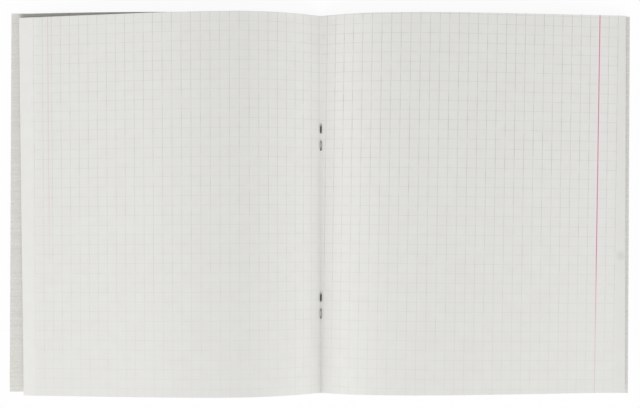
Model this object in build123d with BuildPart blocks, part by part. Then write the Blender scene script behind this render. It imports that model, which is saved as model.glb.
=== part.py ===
from build123d import *
import os
from math import asin, cos, degrees, radians, sin, tan

# Stapled exercise book, lying open at its centre spread: six folded sheets in a card cover,
# held by two wire staples through the fold. Millimetres and degrees, +Z up.
# The origin is on the table under the middle of the fold, +X to the right, +Y up the page.

# Driving dimensions of the book
page_width = 164.2
page_height = 200.0
sheet_count = 6
paper_thickness = 0.1
cover_thickness = 0.25

# Staples: wire and its bends, outside length of the crown, length of each clinched leg, places
wire_diameter = 0.6
wire_bend = 0.45
crown_length = 14.5
clinch_length = 5.0
upper_staple_y = 35.7
lower_staple_y = -53.5

# Arch of the left-hand leaves: straight rise out of the fold, round shoulder, long back; the tail
# is what is left of the page and falls to the cover. Slopes are those at the end of each run
left_rise = 10.0
left_root_slope = 35.0
left_shoulder = 43.0
left_shoulder_slope = -1.0
left_back = 48.0
left_back_slope = -10.4

# Arch of the right-hand leaves, which lie flatter
right_rise = 7.5
right_root_slope = 29.0
right_shoulder = 23.0
right_shoulder_slope = 8.0
right_back = 50.0
right_back_slope = -6.0

# How the open halves lie and are trimmed: turn of their heads, of their feet and of their fore edges in
# plan, anticlockwise from above
left_head_turn = 0.46
left_foot_turn = 0.4
left_edge_turn = 0.75
right_head_turn = -0.06
right_foot_turn = 0.17
right_edge_turn = -0.15
front_head_turn = -0.58
front_foot_turn = -0.16
front_edge_turn = -0.27
back_head_turn = 0.0
back_foot_turn = -0.1
back_edge_turn = -0.3

# Each deeper leaf bends out of the fold a little sooner, so the leaves fan apart;
# their fore edges come to rest on the cover with a little air between them
leaf_fan = 0.3
edge_gap = 0.5

# Folds: flange of the innermost sheet, how much wider each sheet outside it is, air between sheets
fold_flange = 0.8
fold_flange_step = 0.16
fold_gap = 0.1

# Cover: half width of the spine strip beyond the widest fold; how far each cover reaches past the
# page's width as it lies. At the fold it is trimmed flush with the pages
spine_margin = 0.2
front_overhang = 0.9
back_overhang = -0.3

# Arch of the covers, lower than the leaves': slope out of the crease, round shoulder and the slope at its
# end, the slope that the falling back grows to, and the sweep that meets the table; the rest lies flat
front_root_slope = 19.0
front_shoulder = 65.0
front_shoulder_slope = -1.5
front_fall_slope = -11.5
front_sweep = 6.0
back_root_slope = 13.0
back_shoulder = 45.0
back_shoulder_slope = -1.0
back_fall_slope = -6.0
back_sweep = 12.0

# Clearances: crease between two bodies, wire in its slit, wire on the innermost fold
crease_gap = 0.08
slit_clearance = 0.1
clinch_gap = 0.05

# Derived heights, from the table upwards
wire_radius = wire_diameter / 2
spine_bottom = wire_diameter
spine_top = spine_bottom + cover_thickness
sheet_pitch = paper_thickness + fold_gap
inner_fold_bottom = spine_top + fold_gap + (sheet_count - 1) * sheet_pitch
steeper_slope = max(left_root_slope, right_root_slope)
clinch_seat = paper_thickness + clinch_gap + wire_radius
clinch_height = inner_fold_bottom + clinch_seat / cos(radians(steeper_slope))

# Derived widths: the outermost flange, the spine strip, and stock left for trimming the leaves
outer_flange = fold_flange + (sheet_count - 1) * fold_flange_step
spine_half_width = outer_flange + spine_margin
trim_stock = 5.0

# Staple legs: half the distance between the two legs of a staple, their places, the slits they pierce
leg_offset = (crown_length - wire_diameter) / 2
slit_width = wire_diameter + 2 * slit_clearance
leg_places = [
    (0, staple_y + end * leg_offset)
    for staple_y in (upper_staple_y, lower_staple_y)
    for end in (1, -1)
]

LEFT = -1
RIGHT = 1
arches = {
    LEFT: [
        (left_rise, left_root_slope),
        (left_shoulder, left_shoulder_slope),
        (left_back, left_back_slope),
    ],
    RIGHT: [
        (right_rise, right_root_slope),
        (right_shoulder, right_shoulder_slope),
        (right_back, right_back_slope),
    ],
}
leaf_turns = {
    LEFT: (left_head_turn, left_foot_turn, left_edge_turn),
    RIGHT: (right_head_turn, right_foot_turn, right_edge_turn),
}
cover_turns = {
    LEFT: (front_head_turn, front_foot_turn, front_edge_turn),
    RIGHT: (back_head_turn, back_foot_turn, back_edge_turn),
}
cover_reaches = {LEFT: page_width + front_overhang, RIGHT: page_width + back_overhang}
cover_arches = {
    LEFT: (front_root_slope, front_shoulder, front_shoulder_slope, front_fall_slope, front_sweep),
    RIGHT: (back_root_slope, back_shoulder, back_shoulder_slope, back_fall_slope, back_sweep),
}
leaf_names = {LEFT: "left", RIGHT: "right"}
cover_names = {LEFT: "front_cover", RIGHT: "back_cover"}

os.makedirs("parts", exist_ok=True)


def save(builder, name):
    """Labels a finished piece and writes it."""
    builder.part.label = name
    export_step(builder.part, f"parts/{name}.step")


def outward(side, slope):
    """Unit vector in the section plane that leaves the fold on one side, rising by slope degrees."""
    ahead = Vector(1, 0).rotate(Axis.Z, slope)
    return Vector(side * ahead.X, ahead.Y)


def fold_bottom(order):
    """Height of the underside of a sheet's fold; sheet 1 is the innermost."""
    return spine_top + fold_gap + (sheet_count - order) * sheet_pitch


def flange(order):
    """Width of a sheet's fold flange, measured along the paper from the fold."""
    return fold_flange + (order - 1) * fold_flange_step


def skew_reach(side):
    """How much further from the fold the outer corner of a turned leaf reaches than its middle."""
    *_, edge_turn = leaf_turns[side]
    return page_height / 2 * tan(radians(abs(edge_turn)))


def fore_edge_height(order):
    """Height of the underside of a leaf where its outer corner rests on the leaves and cover below."""
    return cover_thickness + edge_gap + (sheet_count - order) * (paper_thickness + edge_gap)


def bend_run(run, length, turn, side):
    """Carries a run on by a length of paper that turns evenly by turn degrees, straight if by none."""
    if turn:
        return JernArc(run @ 1, run % 1, length / radians(abs(turn)), side * turn)
    return Line(run @ 1, run @ 1 + (run % 1) * length)


def draw_arch(side, order):
    """Underside of one leaf in section, from the crease at its flange to past its outer corner.
    Returns how far from the fold the middle of its fore edge lies."""
    (rise, slope), *bends = arches[side]
    valley = Vector(0, fold_bottom(order))
    fan = (order - 1) * leaf_fan
    crease = valley + outward(side, slope) * (flange(order) + crease_gap)
    run = Line(crease, valley + outward(side, slope) * (rise - fan))
    tail = page_width - rise + fan + skew_reach(side)
    for length, next_slope in bends:
        run = bend_run(run, length, next_slope - slope, side)
        slope = next_slope
        tail -= length
    chord_slope = -degrees(asin(((run @ 1).Y - fore_edge_height(order)) / tail))
    run = bend_run(run, tail, 2 * (chord_slope - slope), side)
    Line(run @ 1, run @ 1 + (run % 1) * trim_stock)
    return abs((run @ 1).X) - skew_reach(side)


def arc_rise(length, slope, next_slope):
    """Height gained along a length of card whose slope goes evenly from one value to the next."""
    return length * (cos(radians(slope)) - cos(radians(next_slope))) / radians(next_slope - slope)


def draw_cover(side):
    """Underside of one cover in section: from the crease at the spine strip over a round shoulder, down a
    slowly steepening back as long as it takes, and by a sweep onto the table."""
    root_slope, shoulder, shoulder_slope, fall_slope, sweep_length = cover_arches[side]
    top = spine_bottom + arc_rise(shoulder, root_slope, shoulder_slope)
    drop = top + arc_rise(sweep_length, fall_slope, 0)
    back = drop / -arc_rise(1, shoulder_slope, fall_slope)
    reach = spine_half_width + crease_gap + cover_thickness * sin(radians(root_slope))
    crease = Vector(side * reach, spine_bottom)
    turn = shoulder_slope - root_slope
    run = JernArc(crease, outward(side, root_slope), shoulder / radians(abs(turn)), side * turn)
    run = bend_run(run, back, fall_slope - shoulder_slope, side)
    run = bend_run(run, sweep_length, -fall_slope, side)
    Line(run @ 1, (side * (cover_reaches[side] + trim_stock), 0))


def outline(side, reach, head_turn, foot_turn, edge_turn):
    """Corners in plan of a leaf or cover panel on one side of the fold, reach long along its middle,
    with its head, its foot and its fore edge turned away from square."""
    edge_lean = tan(radians(edge_turn))
    corners = []
    for end, turn in ((page_height / 2, head_turn), (-page_height / 2, foot_turn)):
        lean = tan(radians(turn))
        x = (side * reach - end * edge_lean) / (1 + lean * edge_lean)
        corners.append([(0, end), (x, end + x * lean)])
    head, foot = corners
    ring = head + foot[::-1]
    return ring if side == LEFT else ring[::-1]


def upper_side(side):
    """The side of a line leaving the fold that faces up."""
    return Side.LEFT if side == RIGHT else Side.RIGHT


# Slits that the four staple legs pierce in the folds and in the spine
with BuildSketch() as slits:
    with Locations(leg_places):
        Rectangle(slit_width, slit_width)

# Folds: the middle strip of each sheet, a narrow valley that the staple legs pierce
for order in range(1, sheet_count + 1):
    with BuildPart() as sheet_fold:
        with BuildSketch(Plane.XZ):
            with BuildLine():
                valley = Vector(0, fold_bottom(order))
                Polyline(
                    valley + outward(LEFT, left_root_slope) * flange(order),
                    valley,
                    valley + outward(RIGHT, right_root_slope) * flange(order),
                )
                offset(amount=paper_thickness, side=Side.LEFT, kind=Kind.INTERSECTION)
            make_face()
        extrude(amount=page_height / 2, both=True)
        extrude(slits.sketch, amount=clinch_height, mode=Mode.SUBTRACT)
    save(sheet_fold, f"sheet_{order}_fold")

# Leaves: the arched halves of each sheet, trimmed together so that their edges lie flush
for side, leaf_name in leaf_names.items():
    for order in range(1, sheet_count + 1):
        with BuildPart() as leaf:
            with BuildSketch(Plane.XZ):
                with BuildLine():
                    fore_edge = draw_arch(side, order)
                    offset(amount=paper_thickness, side=upper_side(side))
                make_face()
            extrude(amount=page_height / 2 + trim_stock, both=True)
            if order == 1:
                trimmed_reach = fore_edge
            with BuildSketch():
                Polygon(*outline(side, trimmed_reach, *leaf_turns[side]), align=None)
            extrude(amount=page_width, mode=Mode.INTERSECT)
        save(leaf, f"sheet_{order}_{leaf_name}_leaf")

# Cover spine: the flat strip between the two cover creases, standing on the staple crowns
with BuildPart() as cover_spine:
    with BuildSketch(Plane.XY.offset(spine_bottom)):
        Rectangle(2 * spine_half_width, page_height)
    extrude(amount=cover_thickness)
    extrude(slits.sketch, amount=clinch_height, mode=Mode.SUBTRACT)
save(cover_spine, "cover_spine")

# Cover panels: each arches under its leaves and comes down to lie flat along its fore edge
for side, cover_name in cover_names.items():
    with BuildPart() as cover_panel:
        with BuildSketch(Plane.XZ):
            with BuildLine():
                draw_cover(side)
                offset(amount=cover_thickness, side=upper_side(side))
            make_face()
        extrude(amount=page_height / 2 + trim_stock, both=True)
        with BuildSketch():
            Polygon(*outline(side, cover_reaches[side], *cover_turns[side]), align=None)
        extrude(amount=page_width, mode=Mode.INTERSECT)
    save(cover_panel, cover_name)

# Staples: a crown under the spine, two legs up through the folds, ends clinched towards each other
for name, staple_y in (("upper_staple", upper_staple_y), ("lower_staple", lower_staple_y)):
    with BuildPart() as staple:
        with BuildLine(Plane.YZ) as wire:
            FilletPolyline(
                (staple_y + leg_offset - clinch_length, clinch_height),
                (staple_y + leg_offset, clinch_height),
                (staple_y + leg_offset, wire_radius),
                (staple_y - leg_offset, wire_radius),
                (staple_y - leg_offset, clinch_height),
                (staple_y - leg_offset + clinch_length, clinch_height),
                radius=wire_bend,
            )
        with BuildSketch(Plane(origin=wire.line @ 0, z_dir=wire.line % 0)):
            Circle(wire_radius)
        sweep()
    save(staple, name)
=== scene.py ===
from math import asin, cos, degrees, radians, tan

import bmesh
import bpy
import numpy as np
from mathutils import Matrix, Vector


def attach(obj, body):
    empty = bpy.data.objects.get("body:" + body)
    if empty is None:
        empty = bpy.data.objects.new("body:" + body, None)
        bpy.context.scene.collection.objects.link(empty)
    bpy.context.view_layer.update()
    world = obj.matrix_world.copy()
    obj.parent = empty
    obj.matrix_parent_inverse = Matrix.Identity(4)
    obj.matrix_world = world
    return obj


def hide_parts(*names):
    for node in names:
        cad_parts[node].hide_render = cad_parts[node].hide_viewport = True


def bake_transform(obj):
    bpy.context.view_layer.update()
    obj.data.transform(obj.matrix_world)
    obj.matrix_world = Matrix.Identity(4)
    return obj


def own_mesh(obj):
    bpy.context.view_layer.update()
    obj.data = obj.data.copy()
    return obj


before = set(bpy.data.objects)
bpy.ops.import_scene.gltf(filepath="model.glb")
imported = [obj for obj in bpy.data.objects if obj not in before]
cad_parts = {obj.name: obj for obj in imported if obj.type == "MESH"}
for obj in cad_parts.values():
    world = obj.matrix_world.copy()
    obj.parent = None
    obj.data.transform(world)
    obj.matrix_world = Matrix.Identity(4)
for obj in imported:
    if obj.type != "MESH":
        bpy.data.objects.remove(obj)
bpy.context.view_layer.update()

# Stapled exercise book, lying open at its centre spread. Sizes in millimetres and degrees, the same as the
# solids have; the origin is on the table under the middle of the fold, +X to the right, +Y up the page.
MM = 0.001
page_width = 164.2
page_height = 200.0
sheet_count = 6
paper_thickness = 0.1
card_thickness = 0.25

# Staples: wire and its bends, outside length of the crown, length of each clinched leg and how far it bows
wire_diameter = 0.6
wire_bend = 0.45
crown_length = 14.5
clinch_length = 5.0
clinch_bow = 5.0
staple_places = {"upper": 35.7, "lower": -53.5}

# Arch of the leaves: length of each run along the paper and the slope at its end
arch = {
    "left": ((10.0, 35.0), (43.0, -1.0), (48.0, -10.4)),
    "right": ((7.5, 29.0), (23.0, 8.0), (50.0, -6.0)),
}
trim_stock = 5.0

# Turn of the head, of the foot and of the fore edge in plan, anticlockwise from above
page_turns = {"left": (0.46, 0.4, 0.75), "right": (-0.06, 0.17, -0.15)}
card_turns = {"left": (-0.58, -0.16, -0.27), "right": (0.0, -0.1, -0.3)}
ways = {"left": -1, "right": 1}
cover_bodies = {"left": "front_cover", "right": "back_cover"}

# Fan of the leaves, air between their fore edges, flanges of the folds and air between the folds
leaf_fan = 0.3
edge_gap = 0.5
fold_flange = 0.8
fold_flange_step = 0.16
fold_gap = 0.1
fold_round = 0.25
crease_gap = 0.08
crease_undercut = 0.05
clinch_gap = 0.05
slit_width = 0.8

# Cover: half width of the spine strip, how far past the page each half reaches as it lies, the zone over
# which a crease bends, and the roundness of that bend
spine_half_width = 1.8
overhang = {"left": 0.9, "right": -0.3}
crease_zone = (1.5, 2.2)
crease_bend = 0.3

# Arch of the covers: slope out of the crease, round shoulder and the slope at its end, the slope that the
# falling back grows to, sweep to the table
cover_arch = {"left": (19.0, 65.0, -1.5, -11.5, 6.0), "right": (13.0, 45.0, -1.0, -6.0, 12.0)}

# Heights from the table upwards
wire_radius = wire_diameter / 2
spine_bottom = wire_diameter
spine_top = spine_bottom + card_thickness
inner_fold_bottom = spine_top + fold_gap + (sheet_count - 1) * (paper_thickness + fold_gap)
steeper_slope = max(arch["left"][0][1], arch["right"][0][1])
clinch_seat = paper_thickness + clinch_gap + wire_radius
clinch_height = inner_fold_bottom + clinch_seat / cos(radians(steeper_slope))
leg_offset = (crown_length - wire_diameter) / 2
leg_places = np.array([place + end * leg_offset for place in staple_places.values() for end in (1, -1)])
leg_middles = leg_places - np.tile([1, -1], len(staple_places)) * clinch_length / 2

# Ruling, in millimetres from the fold along the paper and from the middle of the page up it: a square of
# the ruling up and across the page, the first upright line, the middle level line and the margin line. The
# print sits askew: its lines lean by some degrees, and fan out by a share for each millimetre
square = 5.015
last_column = 31.03
ruling = {
    "left": dict(across=5.015, first=1.24, middle=-0.33, margin=148.7),
    "right": dict(across=5.04, first=2.55, middle=-0.57, margin=148.67),
}
upright_lean = {"left": 0.0, "right": 0.9}
upright_fan = {"left": 5.3e-5, "right": 0.0}
level_lean = {"left": 0.0, "right": 0.62}
level_fan = {"left": 0.0, "right": 3.7e-5}

# Ink of the upright, level and margin lines in shares: heights on the page, and the ink there. All are
# paler towards the foot, where the margin line is worn, and on the left page only a trace of that line took
line_ink = {
    "left": (
        ((-95.0, 40.0), (0.075, 0.22)),
        ((-80.0, 80.0), (0.072, 0.12)),
        ((-32.0, 0.0, 60.0), (0.0, 0.12, 0.14)),
    ),
    "right": (
        ((-95.0, 40.0), (0.095, 0.3)),
        ((-80.0, 80.0), (0.086, 0.155)),
        ((-95.0, -70.0, -45.0, -25.0), (0.11, 0.16, 0.37, 0.68)),
    ),
}

# Half widths of the lines, full ink and none. The ruling is a hair of ink, 0.1 mm; it is drawn three times
# as wide and as much paler, so that it shows evenly. The margin line has a core and a bleed
ruled_width = (0.08, 0.24)
margin_core = (0.14, 0.38)
margin_bleed = (0.4, 1.7)

# Painted light and shade on the paper: distances from the fold and the share of its colour there. Painted
# shade greys the crest of each arch, where the paper lies uppermost, and the right fore edge; painted light
# whitens the slopes near the fold and the left page's outer strip
paper_painted_light = {
    "left": ((0.0, 12.0, 44.0, 62.0, 95.0, 154.0, 158.0), (1.01, 1.05, 0.945, 0.955, 1.0, 1.0, 1.035)),
    "right": ((0.0, 12.0, 38.0, 60.0, 157.0, 161.0), (1.01, 1.045, 0.965, 0.955, 0.985, 0.955)),
}

# Painted shade in the crease of the fold, in shares of the colour: heights on the page and the share taken
# there. It paints the crease sharp and grey towards the foot, and at the head a little painted light makes
# it whiter. Most of the painted shade lies in a fine line, the rest in a wider band beside it
fold_painted_shade = ((-100.0, -45.0, 10.0, 60.0), (0.16, 0.12, 0.05, -0.03))
shade_line = 0.6
shade_band = 4.0
line_share = 0.65

# Painted shadow of the wire beside each staple leg, with a little rust, on the paper: share of the colour
# lost under each leg, from the head down, half the width of a mark, and half its length
leg_shadows = np.array([0.6, 0.3, 0.6, 0.3])
leg_shadow_width = 0.75
leg_shadow_length = 2.3

# Finger mark at the fore edge of the right page: distance from the fold and height on the page, its core,
# how far it reaches and the tone it leaves
finger_place = (161.6, -27.4)
finger_core = 0.76
finger_reach = 3.8
finger_tone = 0.9

# Fineness of the grids: samples of a section, columns of a leaf and how they crowd towards the fold, rows of
# a page and beside a staple leg, stations across a fold, a cover panel and a crease, rings along a wire and
# on each of its tips, points round it, and the angle from which an edge is sharp
section_samples = 6000
leaf_stations = 110
leaf_crowding = 1.25
page_rows = np.linspace(-page_height / 2, page_height / 2, 41)
leg_rows = 21
fold_stations = 25
panel_stations = 120
crease_stations = 15
wire_rings = 160
tip_rings = 7
wire_sides = 20
sharp_edge = 40.0


def fold_bottom(order):
    """Height of the underside of a sheet's fold; sheet 1 is the innermost."""
    return spine_top + fold_gap + (sheet_count - order) * (paper_thickness + fold_gap)


def flange(order):
    """Distance along the paper from the fold to the line where the leaf turns."""
    return fold_flange + (order - 1) * fold_flange_step + crease_gap / 2


def bent_path(lengths, slopes):
    """A strip in section: along each run its slope goes evenly from one given value to the next, and its
    place is the running sum of the slope's cosine and sine. Returns the distance along, the place across,
    the height and the slope in radians, each as one array."""
    ends = np.concatenate([[0.0], np.cumsum(lengths)])
    along = np.union1d(np.linspace(0, ends[-1], section_samples), ends)
    slope = np.radians(np.interp(along, ends, slopes))
    step = np.diff(along)
    middle = (slope[1:] + slope[:-1]) / 2
    across = np.concatenate([[0.0], np.cumsum(step * np.cos(middle))])
    up = np.concatenate([[0.0], np.cumsum(step * np.sin(middle))])
    return along, across, up, slope


def leaf_section(side, order):
    """Underside of one leaf in section from the bottom of its fold: a straight rise, a round shoulder, a
    long back, and a tail whose even bend ends where the outer corner rests on what lies below it."""
    (rise, root), *bends = arch[side]
    lengths = [rise - (order - 1) * leaf_fan] + [length for length, _ in bends]
    slopes = [root, root] + [slope for _, slope in bends]
    skew = page_height / 2 * tan(radians(abs(page_turns[side][2])))
    tail = page_width + skew - sum(lengths)
    rest_height = card_thickness + edge_gap + (sheet_count - order) * (paper_thickness + edge_gap)
    top = fold_bottom(order) + bent_path(lengths, slopes)[2][-1]
    chord = -degrees(asin((top - rest_height) / tail))
    end_slope = 2 * chord - slopes[-1]
    path = bent_path(lengths + [tail, trim_stock], slopes + [end_slope, end_slope])
    return path, page_width + skew, skew


def row_leans(turns, rows):
    """Lean of each row across the page: it goes evenly from the foot's lean to the head's."""
    head, foot = (tan(radians(turn)) for turn in turns[:2])
    return foot + (head - foot) * (rows / page_height + 0.5)


def fore_edge(side, reach, turns, rows):
    """Distance from the fold, in plan, of the fore edge at each row: the line through the reach in the
    middle, leaning by the edge's turn, met by rows that lean by their own."""
    edge = tan(radians(turns[2]))
    return (reach - ways[side] * rows * edge) / (1 + row_leans(turns, rows) * edge)


def make_sheet(name, upper, lower, coats, solid=None):
    """A closed sheet between two grids of points: each solid cell has a face on the upper and one on the
    lower grid, and each side of a solid cell that has no solid neighbour has a wall. Points that no face
    uses are left out. The first coat is for the upper faces and the last one for the rest. Grids are in
    millimetres."""
    rows, columns = upper.shape[:2]
    if solid is None:
        solid = np.ones((rows - 1, columns - 1), bool)
    index = np.arange(rows * columns).reshape(rows, columns)
    corners = (index[:-1, :-1], index[1:, :-1], index[1:, 1:], index[:-1, 1:])
    top = np.stack([corner[solid] for corner in corners], axis=1)
    padded = np.pad(solid, 1)
    row, column = np.nonzero(padded[1:, 1:-1] != padded[:-1, 1:-1])
    across = np.stack([index[row, column], index[row, column + 1]], axis=1)
    row, column = np.nonzero(padded[1:-1, 1:] != padded[1:-1, :-1])
    upright = np.stack([index[row, column], index[row + 1, column]], axis=1)
    rim = np.concatenate([across, upright])
    walls = np.concatenate([rim, rim[:, ::-1] + index.size], axis=1)
    faces = np.concatenate([top, top[:, ::-1] + index.size, walls])
    coat = np.full(len(faces), len(coats) - 1)
    coat[: len(top)] = 0
    used, corner_points = np.unique(faces, return_inverse=True)
    points = np.concatenate([upper.reshape(-1, 3), lower.reshape(-1, 3)])[used] * MM
    return make_piece(name, points, corner_points.reshape(faces.shape), coats, coat)


def make_piece(name, points, faces, coats, coat=None):
    """Puts points and faces into a mesh at the origin, faces outward, smooth up to sharp edges."""
    mesh = bpy.data.meshes.new(name)
    mesh.from_pydata(points.tolist(), [], faces.tolist())
    for material in coats:
        mesh.materials.append(material)
    if coat is not None:
        mesh.polygons.foreach_set("material_index", coat.astype(np.int32))
    shell = bmesh.new()
    shell.from_mesh(mesh)
    bmesh.ops.recalc_face_normals(shell, faces=shell.faces)
    shell.to_mesh(mesh)
    shell.free()
    mesh.shade_smooth()
    mesh.set_sharp_from_angle(angle=radians(sharp_edge))
    piece = bpy.data.objects.new(name, mesh)
    bpy.context.scene.collection.objects.link(piece)
    return piece


def mark_points(piece, name, values):
    """Stores one number or one vector per point for the material to read."""
    kind, field = ("FLOAT", "value") if values.ndim == 1 else ("FLOAT_VECTOR", "vector")
    attribute = piece.data.attributes.new(name, kind, "POINT")
    attribute.data.foreach_set(field, values.astype(np.float32).ravel())


def crease_shade(distance, height):
    """Share of the colour left beside the fold by its painted shade: at each height the painted shade falls
    off from the fold as two bell curves, one with the width of the line and one with that of the band."""
    fine, wide = (np.exp(-((distance / width) ** 2)) for width in (shade_line, shade_band))
    return 1 - np.interp(height, *fold_painted_shade) * (line_share * fine + (1 - line_share) * wide)


def mark_rows(piece):
    """Marks a fold's points for the ruling: level lines cross it by height, no upright line falls on it, and
    under each staple leg a painted shadow of the wire, with a little rust, darkens it as a bell curve across
    and a flatter one along."""
    points = np.empty(len(piece.data.vertices) * 3, np.float32)
    piece.data.vertices.foreach_get("co", points)
    out, height, _ = points.reshape(-1, 3).T / MM
    row = (height - (ruling["left"]["middle"] + ruling["right"]["middle"]) / 2) / square
    between, far, bare = (np.full_like(row, value) for value in (0.5, -page_width, 0.0))
    under = np.exp(-(((height[:, None] - leg_middles[None, :]) / leg_shadow_length) ** 4)) @ leg_shadows
    shadowed = 1 - under * np.exp(-((out / leg_shadow_width) ** 2))
    mark_points(piece, "ruling", np.stack([between, row, far], axis=-1))
    mark_points(piece, "ink", np.stack([bare, np.interp(height, *line_ink["left"][1]), bare], axis=-1))
    mark_points(piece, "painted_shading", paper_painted_light["left"][1][0] * crease_shade(out, height) * shadowed)
    mark_points(piece, "touch", np.full((len(row), 3), page_width))


def linear(hex_colour):
    """An sRGB hex colour as linear red, green, blue and alpha."""
    shares = [int(hex_colour[i : i + 2], 16) / 255 for i in (1, 3, 5)]
    return [s / 12.92 if s <= 0.04045 else ((s + 0.055) / 1.055) ** 2.4 for s in shares] + [1.0]


def add(tree, kind, inputs=None, **settings):
    """Adds one node with its settings. Inputs go by name or number; a socket is linked, a value is set."""
    node = tree.nodes.new(kind)
    for key, value in settings.items():
        setattr(node, key, value)
    for key, value in (inputs or {}).items():
        if isinstance(value, bpy.types.NodeSocket):
            tree.links.new(value, node.inputs[key])
        else:
            node.inputs[key].default_value = value
    return node


def new_material(name):
    """An empty node material, its tree and its output's surface socket."""
    material = bpy.data.materials.new(name)
    material.use_nodes = True
    tree = material.node_tree
    tree.nodes.clear()
    output = add(tree, "ShaderNodeOutputMaterial")
    return material, tree, output.inputs["Surface"]


def seen_ray(tree):
    """1 for a ray from the camera or one that a surface mirrors or lets through, else 0."""
    path = add(tree, "ShaderNodeLightPath")
    rays = [path.outputs[f"Is {kind} Ray"] for kind in ("Camera", "Glossy", "Transmission")]
    first = add(tree, "ShaderNodeMath", {0: rays[0], 1: rays[1]}, operation="MAXIMUM")
    return add(tree, "ShaderNodeMath", {0: first.outputs[0], 1: rays[2]}, operation="MAXIMUM").outputs[0]


def ruled_paper():
    """Woodfree writing paper, machine finished, printed with a squared ruling and a margin line."""
    # Matt and slightly warm; the cloudy formation of the fibres shows as a faint mottle of 6 mm, and the
    # fibres themselves, finer but drawn coarse enough to show, as a grain. Ink took unevenly, in 7 mm blots
    cloud_size, fibre_size, blot_size = 6.0, 0.9, 7.0
    noise_low, noise_high = 0.3, 0.7
    mottle_low, mottle_high = 0.37, 0.63
    ink_least, ink_most = 0.45, 1.55
    material, tree, surface = new_material("Woodfree writing paper, ruled")
    place = add(tree, "ShaderNodeTexCoord").outputs["Object"]
    cloud = add(tree, "ShaderNodeTexNoise", {"Vector": place, "Scale": 1 / (cloud_size * MM), "Detail": 3.0})
    fibre = add(tree, "ShaderNodeTexNoise", {"Vector": place, "Scale": 1 / (fibre_size * MM), "Detail": 2.0})
    mottle = add(
        tree,
        "ShaderNodeMapRange",
        {0: cloud.outputs["Fac"], 1: noise_low, 2: noise_high, 3: mottle_low, 4: mottle_high},
    )
    sheet = add(
        tree,
        "ShaderNodeMix",
        {0: mottle.outputs[0], 6: linear("#E1E0DD"), 7: linear("#EAEAE7")},
        data_type="RGBA",
    )
    # Painted light and shade that the points carry: brighter slopes and a greyer crest on the arch, painted
    # shade in the crease, and the wire's painted shadow beside the staple legs
    painted_shading = add(tree, "ShaderNodeAttribute", attribute_name="painted_shading").outputs["Color"]
    touch = add(tree, "ShaderNodeAttribute", attribute_name="touch").outputs["Vector"]
    apart = add(tree, "ShaderNodeVectorMath", {0: touch}, operation="LENGTH").outputs["Value"]
    finger = add(
        tree,
        "ShaderNodeMapRange",
        {0: apart, 1: finger_core, 2: finger_reach, 3: finger_tone, 4: 1.0},
        interpolation_type="SMOOTHSTEP",
    )
    shading_and_finger = add(tree, "ShaderNodeVectorMath", {0: painted_shading, 1: finger.outputs[0]}, operation="MULTIPLY")
    # The sheet's colour times its painted light and shade and the finger mark
    shaded_sheet = add(
        tree,
        "ShaderNodeMix",
        {0: 1.0, 6: sheet.outputs[2], 7: shading_and_finger.outputs[0]},
        data_type="RGBA",
        blend_type="MULTIPLY",
    )

    # Ruling: columns and rows counted in squares, and millimetres from the margin line
    print_place = add(tree, "ShaderNodeAttribute", attribute_name="ruling").outputs["Vector"]
    parts = add(tree, "ShaderNodeSeparateXYZ", {0: print_place})
    column, row, margin = (parts.outputs[i] for i in range(3))
    print_ink = add(tree, "ShaderNodeAttribute", attribute_name="ink").outputs["Vector"]
    inks = add(tree, "ShaderNodeSeparateXYZ", {0: print_ink})
    inner, outer = (width / square for width in ruled_width)
    drawn = []
    for place_in_square, ink in ((column, inks.outputs[0]), (row, inks.outputs[1])):
        off = add(tree, "ShaderNodeMath", {0: place_in_square, 1: 0.5}, operation="PINGPONG").outputs[0]
        line = add(
            tree,
            "ShaderNodeMapRange",
            {0: off, 1: outer, 2: inner, 3: 0.0, 4: ink},
            interpolation_type="SMOOTHSTEP",
        )
        drawn.append(line.outputs[0])
    lines = add(tree, "ShaderNodeMath", {0: drawn[0], 1: drawn[1]}, operation="MAXIMUM").outputs[0]
    inside = add(tree, "ShaderNodeMath", {0: column, 1: last_column}, operation="LESS_THAN").outputs[0]
    inked = add(tree, "ShaderNodeMath", {0: lines, 1: inside}, operation="MULTIPLY").outputs[0]
    blot = add(tree, "ShaderNodeTexNoise", {"Vector": place, "Scale": 1 / (blot_size * MM), "Detail": 2.0})
    uneven = add(
        tree,
        "ShaderNodeMapRange",
        {0: blot.outputs["Fac"], 1: noise_low, 2: noise_high, 3: ink_least, 4: ink_most},
    )
    patchy = add(tree, "ShaderNodeMath", {0: inked, 1: uneven.outputs[0]}, operation="MULTIPLY").outputs[0]
    ruled = add(
        tree,
        "ShaderNodeMix",
        {0: patchy, 6: shaded_sheet.outputs[2], 7: linear("#93938F")},
        data_type="RGBA",
    )

    # Margin line: a thin dull red core over the pink that has bled into the paper beside it
    off_margin = add(tree, "ShaderNodeMath", {0: margin}, operation="ABSOLUTE").outputs[0]
    core = add(
        tree,
        "ShaderNodeMapRange",
        {0: off_margin, 1: margin_core[1], 2: margin_core[0], 3: 0.0, 4: inks.outputs[2]},
        interpolation_type="SMOOTHSTEP",
    ).outputs[0]
    bled = add(
        tree,
        "ShaderNodeMapRange",
        {0: off_margin, 1: margin_bleed[1], 2: margin_bleed[0], 3: 0.0, 4: inks.outputs[2]},
        interpolation_type="SMOOTHSTEP",
    ).outputs[0]
    pink = add(
        tree,
        "ShaderNodeMix",
        {0: bled, 6: ruled.outputs[2], 7: linear("#F4DDE4")},
        data_type="RGBA",
    )
    printed = add(
        tree,
        "ShaderNodeMix",
        {0: core, 6: pink.outputs[2], 7: linear("#94485E")},
        data_type="RGBA",
    )
    grain = add(
        tree,
        "ShaderNodeBump",
        {"Strength": 0.15, "Distance": 0.02 * MM, "Height": fibre.outputs["Fac"]},
    )
    shader = add(
        tree,
        "ShaderNodeBsdfPrincipled",
        {
            "Base Color": printed.outputs[2],
            "Roughness": 0.85,
            "IOR": 1.45,
            "Specular IOR Level": 0.25,
            "Normal": grain.outputs[0],
        },
    )
    tree.links.new(shader.outputs[0], surface)
    return material


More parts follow.
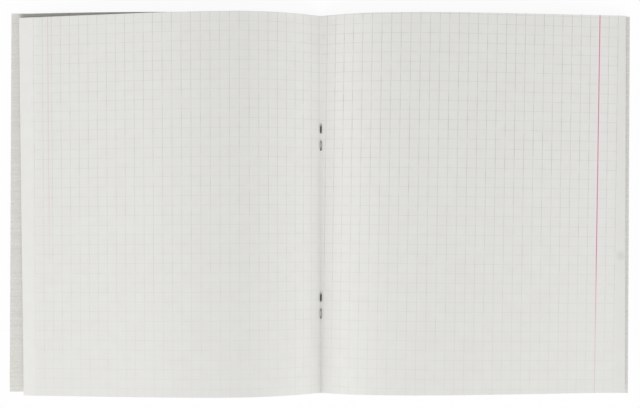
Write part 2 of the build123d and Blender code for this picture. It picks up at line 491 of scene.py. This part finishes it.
def cover_card(name, pale, deep, roughness, rubbing):
    """Pulp card, rolled: streaks along the page's width and fine flecks, with a paler and a deeper colour.
    Its edges are rubbed down to the pale pulp by the given share."""
    # Dull, with a soft run from side to side: the fibres lie mostly across the cover, in streaks 1.2 mm high
    # and 24 mm long, and flecks of 0.8 mm break them up
    streak_size, streak_length, fleck_size = 1.2, 24.0, 0.8
    stretch = streak_size / streak_length
    streak_low, streak_high = 0.7, 1.3
    least_rubbing = 0.2 * rubbing
    material, tree, surface = new_material(name)
    place = add(tree, "ShaderNodeTexCoord").outputs["Object"]
    stretched = add(tree, "ShaderNodeMapping", {"Vector": place, "Scale": (stretch, 1.0, stretch)})
    streak = add(
        tree,
        "ShaderNodeTexNoise",
        {"Vector": stretched.outputs[0], "Scale": 1 / (streak_size * MM), "Detail": 3.0},
    )
    fleck = add(tree, "ShaderNodeTexNoise", {"Vector": place, "Scale": 1 / (fleck_size * MM), "Detail": 2.0})
    mixed = add(tree, "ShaderNodeMath", {0: streak.outputs["Fac"], 1: fleck.outputs["Fac"]}, operation="ADD")
    share = add(
        tree,
        "ShaderNodeMapRange",
        {0: mixed.outputs[0], 1: streak_low, 2: streak_high, 3: 0.0, 4: 1.0},
    )
    colour = add(
        tree,
        "ShaderNodeMix",
        {0: share.outputs[0], 6: linear(deep), 7: linear(pale)},
        data_type="RGBA",
    )
    edge = add(tree, "ShaderNodeAttribute", attribute_name="wear").outputs["Fac"]
    patchy = add(
        tree,
        "ShaderNodeMapRange",
        {0: share.outputs[0], 1: 0.0, 2: 1.0, 3: least_rubbing, 4: rubbing},
    )
    rubbed = add(tree, "ShaderNodeMath", {0: edge, 1: patchy.outputs[0]}, operation="MULTIPLY").outputs[0]
    worn_card = add(
        tree,
        "ShaderNodeMix",
        {0: rubbed, 6: colour.outputs[2], 7: linear("#DDDCD2")},
        data_type="RGBA",
    )
    grain = add(
        tree,
        "ShaderNodeBump",
        {"Strength": 0.2, "Distance": 0.03 * MM, "Height": mixed.outputs[0]},
    )
    shader = add(
        tree,
        "ShaderNodeBsdfPrincipled",
        {
            "Base Color": worn_card.outputs[2],
            "Roughness": roughness,
            "IOR": 1.5,
            "Specular IOR Level": 0.3,
            "Normal": grain.outputs[0],
        },
    )
    tree.links.new(shader.outputs[0], surface)
    return material


def staple_wire():
    """Drawn steel wire, painted dark grey, with a pale painted highlight on top of the clinched legs."""
    # Dark grey metal with a half sharp gloss, in patches of 0.9 mm: the dark grey is painted shade, standing
    # in for the dark reflections of the wire. The pale painted highlight is glossier too
    patch_size = 0.9
    dull_roughness, highlight_roughness = 0.45, 0.25
    material, tree, surface = new_material("Drawn steel wire")
    place = add(tree, "ShaderNodeTexCoord").outputs["Object"]
    patch = add(tree, "ShaderNodeTexNoise", {"Vector": place, "Scale": 1 / (patch_size * MM), "Detail": 3.0})
    # Painted shade: a metal colour far darker than steel, for the dark surroundings the wire mirrors
    shaded_metal = add(
        tree,
        "ShaderNodeMix",
        {0: patch.outputs["Fac"], 6: linear("#2E2D2B"), 7: linear("#474643")},
        data_type="RGBA",
    )
    highlight = add(tree, "ShaderNodeAttribute", attribute_name="highlight").outputs["Fac"]
    colour = add(tree, "ShaderNodeMix", {0: highlight, 6: shaded_metal.outputs[2], 7: linear("#DCDAD4")}, data_type="RGBA")
    gloss = add(tree, "ShaderNodeMapRange", {0: highlight, 1: 0.0, 2: 1.0, 3: dull_roughness, 4: highlight_roughness})
    shader = add(
        tree,
        "ShaderNodeBsdfPrincipled",
        {"Base Color": colour.outputs[2], "Metallic": 1.0, "Roughness": gloss.outputs[0]},
    )
    tree.links.new(shader.outputs[0], surface)
    return material


paper = ruled_paper()
# The back cover's copy is greyer and less yellow: painted shade, for its inner strip lies in the shade of
# the right page's edge
card_inside = {
    "left": cover_card("Pulp card, uncoated inside, yellowed", "#E4E3DD", "#D5D4CE", 0.85, 0.0),
    "right": cover_card("Pulp card, uncoated inside, painted shade", "#E3E2DF", "#D3D2CF", 0.85, 0.0),
}
card_outside = cover_card("Pulp card, calendered outside", "#AEBFA8", "#9FB199", 0.6, 0.7)
wire = staple_wire()

# Leaves: closed sheets of paper from the fold to the fore edge, trimmed flush in one outline
leaf_columns = np.linspace(0, 1, leaf_stations) ** leaf_crowding


def leaf_grids(side, order, reach):
    """Upper and lower grid of one leaf, and the marks of its points by name. A point at a share of the way
    from the fold to the fore edge lies on the leaf's section at that distance along the paper, and its row
    leans by its own lean; the upper grid stands one paper thickness off the lower along its normal. At the
    crease the lower grid is cut back, so that the leaf has room to turn up. The marks are each point's place
    in the ruling, the inks of the lines there, the painted light and shade, and the way to it from the
    finger mark."""
    way = ways[side]
    (along, across, up, slope), _, _ = leaf_section(side, order)
    edge = np.interp(fore_edge(side, reach, page_turns[side], page_rows), across, along)
    start = flange(order)
    distance = start + leaf_columns[:, None] * (edge[None, :] - start)
    out = np.interp(distance, along, across)
    height = fold_bottom(order) + np.interp(distance, along, up)
    tilt = np.interp(distance, along, slope)
    page_y = np.broadcast_to(page_rows[None, :], out.shape)
    lower = np.stack([way * out, page_y + way * out * row_leans(page_turns[side], page_y), height], axis=-1)
    normal = np.stack([-way * np.sin(tilt), np.zeros_like(tilt), np.cos(tilt)], axis=-1)
    upper = lower + paper_thickness * normal
    outward = np.stack([way * np.cos(tilt), np.zeros_like(tilt), np.sin(tilt)], axis=-1)
    lower[0] += crease_undercut * outward[0]
    sits = ruling[side]
    printed = distance * (1 - upright_fan[side] * page_y) - page_y * tan(radians(upright_lean[side]))
    level = page_y * (1 - level_fan[side] * distance) + distance * tan(radians(level_lean[side]))
    column = (printed - sits["first"]) / sits["across"]
    places = np.stack([column, (level - sits["middle"]) / square, printed - sits["margin"]], axis=-1)
    inks = np.stack([np.interp(page_y, *ink) for ink in line_ink[side]], axis=-1)
    # Painted light and shade of the arch, times the painted shade of the crease
    shading_values = np.interp(distance, *paper_painted_light[side]) * crease_shade(distance, page_y)
    touch = np.full_like(places, page_width)
    if (side, order) == ("right", 1):
        touch = np.stack([distance - finger_place[0], page_y - finger_place[1], np.zeros_like(out)], axis=-1)
    marks = {"ruling": places, "ink": inks, "touch": touch}
    marks = {name: values.reshape(-1, 3) for name, values in marks.items()}
    marks["painted_shading"] = shading_values.ravel()
    return upper, lower, marks


for side in ways:
    (along, across, _, _), length, skew = leaf_section(side, 1)
    reach = float(np.interp(length, along, across)) - skew
    for order in range(1, sheet_count + 1):
        upper, lower, marks = leaf_grids(side, order, reach)
        page = make_sheet(f"{side}_page_{order}", upper, lower, [paper])
        for name, values in marks.items():
            mark_points(page, name, np.concatenate([values, values]))
        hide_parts(f"sheet_{order}_{side}_leaf")
        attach(page, f"{side}_leaf_{order}")
        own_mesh(page)

# Folds: the narrow valley of each sheet with a rounded bottom, pierced by the staple legs
slit_edges = np.concatenate([leg_places - slit_width / 2, leg_places + slit_width / 2])
beside_legs = leg_middles[:, None] + np.linspace(-clinch_length, clinch_length, leg_rows)[None, :]
fold_rows = np.union1d(page_rows, np.append(slit_edges, beside_legs))


def pierced(out, rows):
    """Which cells of a grid are paper: all but those within a slit of a staple leg."""
    row_middle = (rows[1:] + rows[:-1]) / 2
    out_middle = (out[1:] + out[:-1]) / 2
    in_slit = (np.abs(row_middle[:, None] - leg_places[None, :]) < slit_width / 2).any(axis=1)
    return ~((np.abs(out_middle) < slit_width / 2)[:, None] & in_slit[None, :])


def fold_grids(order):
    """Upper and lower grid of one fold, and the places of its columns: the section goes straight down the
    left flange, round the bottom and straight up the right flange, the upper grid stands one paper thickness
    off the lower along its normal, and at both creases the lower grid is cut back."""
    left_root, right_root = arch["left"][0][1], arch["right"][0][1]
    turn = left_root + right_root
    tangent = fold_round * tan(radians(turn / 2))
    straight = flange(order) - tangent
    along, across, up, slope = bent_path(
        [straight, fold_round * radians(turn), straight], [-left_root, -left_root, right_root, right_root]
    )
    across = across - flange(order) * cos(radians(left_root))
    up = up + fold_bottom(order) + flange(order) * np.sin(radians(left_root))
    edges = np.interp([-slit_width / 2, slit_width / 2], across, along)
    stations = np.union1d(np.linspace(0, along[-1], fold_stations), edges)
    out = np.interp(stations, along, across)
    height = np.interp(stations, along, up)
    tilt = np.interp(stations, along, slope)
    lower = np.stack(np.broadcast_arrays(out[:, None], fold_rows[None, :], height[:, None]), axis=-1)
    normal = np.stack([-np.sin(tilt), np.zeros_like(tilt), np.cos(tilt)], axis=-1)[:, None, :]
    upper = lower + paper_thickness * normal
    inward = np.stack([np.cos(tilt), np.zeros_like(tilt), np.sin(tilt)], axis=-1)
    lower[0] += crease_undercut * inward[0]
    lower[-1] -= crease_undercut * inward[-1]
    return upper, lower, out


for order in range(1, sheet_count + 1):
    upper, lower, out = fold_grids(order)
    fold = make_sheet(f"sheet_fold_{order}", upper, lower, [paper], pierced(out, fold_rows))
    mark_rows(fold)
    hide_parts(f"sheet_{order}_fold")
    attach(fold, "spine")

# Cover: a flat strip under the fold, a crease on each side of it, and two arched panels. The wear of its
# edges falls off over a short reach, so the rows crowd at the head and the foot
worn_rows = np.outer([-1, 1], page_height / 2 - np.array([0.6, 1.2, 2.0, 3.0]))
card_rows = np.union1d(page_rows, np.append(slit_edges, worn_rows))
wear_reach = 1.4


def cover_section(side):
    """Underside of one half of the cover in section from the middle of the spine: flat to the crease, a
    short bend up, a round shoulder, a slowly steepening back as long as it takes, and a sweep onto the
    table."""
    root, shoulder, shoulder_slope, fall, sweep = cover_arch[side]
    corner = spine_half_width + crease_gap + card_thickness * np.sin(radians(root))
    lengths = [corner - crease_bend / 2, crease_bend, shoulder - crease_bend / 2]
    slopes = [0, 0, root, shoulder_slope]
    top = spine_bottom + bent_path(lengths, slopes)[2][-1]
    drop = top + bent_path([sweep], [fall, 0])[2][-1]
    back = drop / -bent_path([1.0], [shoulder_slope, fall])[2][-1]
    return bent_path(lengths + [back, sweep, page_width], slopes + [fall, 0, 0])


def card_grids(side, start, end, stations):
    """Upper and lower grid of a strip of the cover between two distances from the fold, each a number or
    one for every row: points share the way between them evenly and lie on the section, each row leans by
    its own lean, and the upper grid stands one card thickness off the lower along its normal."""
    way = ways[side]
    along, across, up, slope = cover_section(side)
    share = np.linspace(0, 1, stations)[:, None]
    distance = start + share * (np.broadcast_to(end, card_rows.shape)[None, :] - start)
    out = np.interp(distance, along, across)
    tilt = np.interp(distance, along, slope)
    lean = way * out * row_leans(card_turns[side], card_rows)[None, :]
    height = spine_bottom + np.interp(distance, along, up)
    lower = np.stack([way * out, card_rows[None, :] + lean, height], axis=-1)
    normal = np.stack([-way * np.sin(tilt), np.zeros_like(tilt), np.cos(tilt)], axis=-1)
    return lower + card_thickness * normal, lower


def edge_wear(inward):
    """Wear of each point of a strip of the cover, by how far in from the fore edge it lies: the greatest of
    the bell curves that fall off from the head, from the foot and from the fore edge."""
    from_ends = page_height / 2 - np.abs(card_rows)[None, :]
    return np.exp(-((np.minimum(inward, from_ends) / wear_reach) ** 2))


card_coats = {side: [card_inside[side], card_outside] for side in ways}
spine_stations = np.array([-crease_zone[0], -1.0, -slit_width / 2, 0, slit_width / 2, 1.0, crease_zone[0]])
lower = np.stack(
    np.broadcast_arrays(spine_stations[:, None], card_rows[None, :], np.full((1, 1), spine_bottom)), axis=-1
)
solid = pierced(spine_stations, card_rows)
strip = make_sheet("spine_card", lower + [0, 0, card_thickness], lower, card_coats["left"], solid)
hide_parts("cover_spine")
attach(strip, "spine")

for side, way in ways.items():
    body = cover_bodies[side]
    crease = make_sheet(f"{side}_crease", *card_grids(side, *crease_zone, crease_stations), card_coats[side])
    inward = np.full((crease_stations, 1), page_width)
    mark_points(crease, "wear", np.tile(edge_wear(inward).ravel(), 2))
    start, end = ((way * zone * MM, 0, spine_top * MM) for zone in crease_zone)
    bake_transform(crease)
    along, across, _, _ = cover_section(side)
    reach = fore_edge(side, page_width + overhang[side], card_turns[side], card_rows)
    edge = np.interp(reach, across, along)
    grids = card_grids(side, crease_zone[1], edge, panel_stations)
    panel = make_sheet(f"{side}_card", *grids, card_coats[side])
    inward = np.linspace(1, 0, panel_stations)[:, None] * (edge - crease_zone[1])[None, :]
    mark_points(panel, "wear", np.tile(edge_wear(inward).ravel(), 2))
    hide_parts(body)
    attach(panel, body)
    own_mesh(panel)

# Staples: round wire carried along its bent path, the cut ends a little rounded. A highlight is painted on
# the top of the wire at the bend of the upper leg and along most of the lower leg, over these lengths and,
# round the wire, from one share of its radius up to another
highlight_at_bend = 0.7
highlight_on_leg = 1.7
highlight_round = (0.45, 0.85)
for name, place in staple_places.items():
    quarter = wire_bend * radians(90)
    leg = clinch_length - wire_bend
    post = clinch_height - wire_radius - 2 * wire_bend
    crown = 2 * (leg_offset - wire_bend)
    lengths = [leg, quarter, post, quarter, crown, quarter, post, quarter, leg]
    turns = [-90, -90, -180, -180, -270, -270]
    slopes = [clinch_bow, -clinch_bow] + turns + [-360 + clinch_bow, -360 - clinch_bow]
    along, across, up, slope = bent_path(lengths, slopes)
    tip = wire_radius * (1 - np.cos(np.radians(np.linspace(0, 90, tip_rings))))
    end = along[-1]
    stations = np.union1d(np.linspace(tip[-1], end - tip[-1], wire_rings), np.concatenate([tip, end - tip]))
    to_tip = np.minimum(stations, end - stations)
    radius = wire_radius * np.sqrt(1 - np.clip(1 - to_tip / wire_radius, 0, 1) ** 2)
    y = np.interp(stations, along, across)
    z = np.interp(stations, along, up)
    y = y - (y.max() + y.min()) / 2 + place
    z = z - z.min() + wire_radius
    tilt = np.interp(stations, along, slope)
    round_angle = np.linspace(0, 2 * np.pi, wire_sides, endpoint=False)[None, :]
    points = np.stack(
        [
            radius[:, None] * np.cos(round_angle),
            y[:, None] - radius[:, None] * np.sin(round_angle) * np.sin(tilt)[:, None],
            z[:, None] + radius[:, None] * np.sin(round_angle) * np.cos(tilt)[:, None],
        ],
        axis=-1,
    )
    index = np.arange(points.shape[0] * points.shape[1]).reshape(points.shape[:2])
    ahead = np.roll(index, -1, axis=1)
    faces = np.stack([index[:-1], ahead[:-1], ahead[1:], index[1:]], axis=-1).reshape(-1, 4)
    staple = make_piece(f"{name}_wire", points.reshape(-1, 3) * MM, faces, [wire])
    at_bend = np.exp(-(((stations - leg) / highlight_at_bend) ** 2))
    on_leg = np.exp(-(((end - stations - leg / 2) / highlight_on_leg) ** 2))
    on_top = np.interp(np.sin(round_angle), highlight_round, (0, 1))
    mark_points(staple, "highlight", (np.maximum(at_bend, on_leg)[:, None] * on_top).ravel())
    shell = bmesh.new()
    shell.from_mesh(staple.data)
    bmesh.ops.remove_doubles(shell, verts=shell.verts, dist=1e-7)
    bmesh.ops.recalc_face_normals(shell, faces=shell.faces)
    shell.to_mesh(staple.data)
    shell.free()
    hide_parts(f"{name}_staple")
    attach(staple, "spine")

# Floor: a plain white sheet; what the camera sees of it is white with a share of its own shading, so that
# the book's soft shadow stays on it
floor_size = 6.0
floor_drop = -0.05 * MM
floor_seen = 0.94
floor_mesh = bpy.data.meshes.new("floor")
floor_corners = np.array([[-1, -1, 0], [1, -1, 0], [1, 1, 0], [-1, 1, 0]]) * floor_size / 2
floor_mesh.from_pydata((floor_corners + [0, 0, floor_drop]).tolist(), [], [[0, 1, 2, 3]])
floor = bpy.data.objects.new("floor", floor_mesh)
bpy.context.scene.collection.objects.link(floor)
material, tree, surface = new_material("White paper sweep")
share = add(tree, "ShaderNodeMath", {0: seen_ray(tree), 1: floor_seen}, operation="MULTIPLY")
matt = add(tree, "ShaderNodeBsdfDiffuse", {"Color": linear("#F4F4F4")})
glow = add(tree, "ShaderNodeEmission", {"Color": linear("#FFFFFF"), "Strength": 1.0})
mixed = add(tree, "ShaderNodeMixShader", {0: share.outputs[0], 1: matt.outputs[0], 2: glow.outputs[0]})
tree.links.new(mixed.outputs[0], surface)
floor_mesh.materials.append(material)

# Light: a soft dome that fades towards the head of the book, a wide lamp at the foot and low ones on both
# sides. Each lamp: place, width and height of its face in metres, watts. The camera, and what mirrors, sees
# the dome plain white
dome_foot = 0.94
dome_head = 0.05
dome_fade = (-0.3, 0.45)
lamps = {
    "foot_lamp": ((0.0, -2.76, 2.31), (1.9, 1.9), 75.0),
    "left_lamp": ((-1.48, 0.0, 0.6), (1.2, 0.6), 3.7),
    "right_lamp": ((1.5, 0.0, 0.55), (1.2, 0.6), 2.8),
}
world = bpy.data.worlds.new("studio")
world.use_nodes = True
tree = world.node_tree
tree.nodes.clear()
towards = add(tree, "ShaderNodeSeparateXYZ", {0: add(tree, "ShaderNodeTexCoord").outputs["Generated"]})
graded = add(
    tree,
    "ShaderNodeMapRange",
    {0: towards.outputs["Y"], 1: dome_fade[0], 2: dome_fade[1], 3: dome_foot, 4: dome_head},
)
strength = add(tree, "ShaderNodeMix", {0: seen_ray(tree), 2: graded.outputs[0], 3: 1.0})
dome = add(tree, "ShaderNodeBackground", {"Color": linear("#FFFFFF"), "Strength": strength.outputs[0]})
add(tree, "ShaderNodeOutputWorld", {"Surface": dome.outputs[0]})
bpy.context.scene.world = world
for name, (place, face, watts) in lamps.items():
    lamp_data = bpy.data.lights.new(name, "AREA")
    lamp_data.shape = "RECTANGLE"
    lamp_data.size, lamp_data.size_y = face
    lamp_data.energy = watts
    lamp = bpy.data.objects.new(name, lamp_data)
    lamp.location = place
    lamp.rotation_euler = (-Vector(place)).to_track_quat("-Z", "Y").to_euler()
    bpy.context.scene.collection.objects.link(lamp)

# Camera: straight above the book, framed for a picture of 640 by 408
camera_data = bpy.data.cameras.new("camera")
camera_data.sensor_width = 36.0
camera_data.lens = 72.91
camera_data.shift_y = 0.0537
camera_data.clip_start = 0.01
camera = bpy.data.objects.new("camera", camera_data)
camera.location = (-0.45 * MM, -18.0 * MM, 690.0 * MM)
bpy.context.scene.collection.objects.link(camera)
bpy.context.scene.camera = camera
bpy.context.scene.view_settings.view_transform = "Standard"
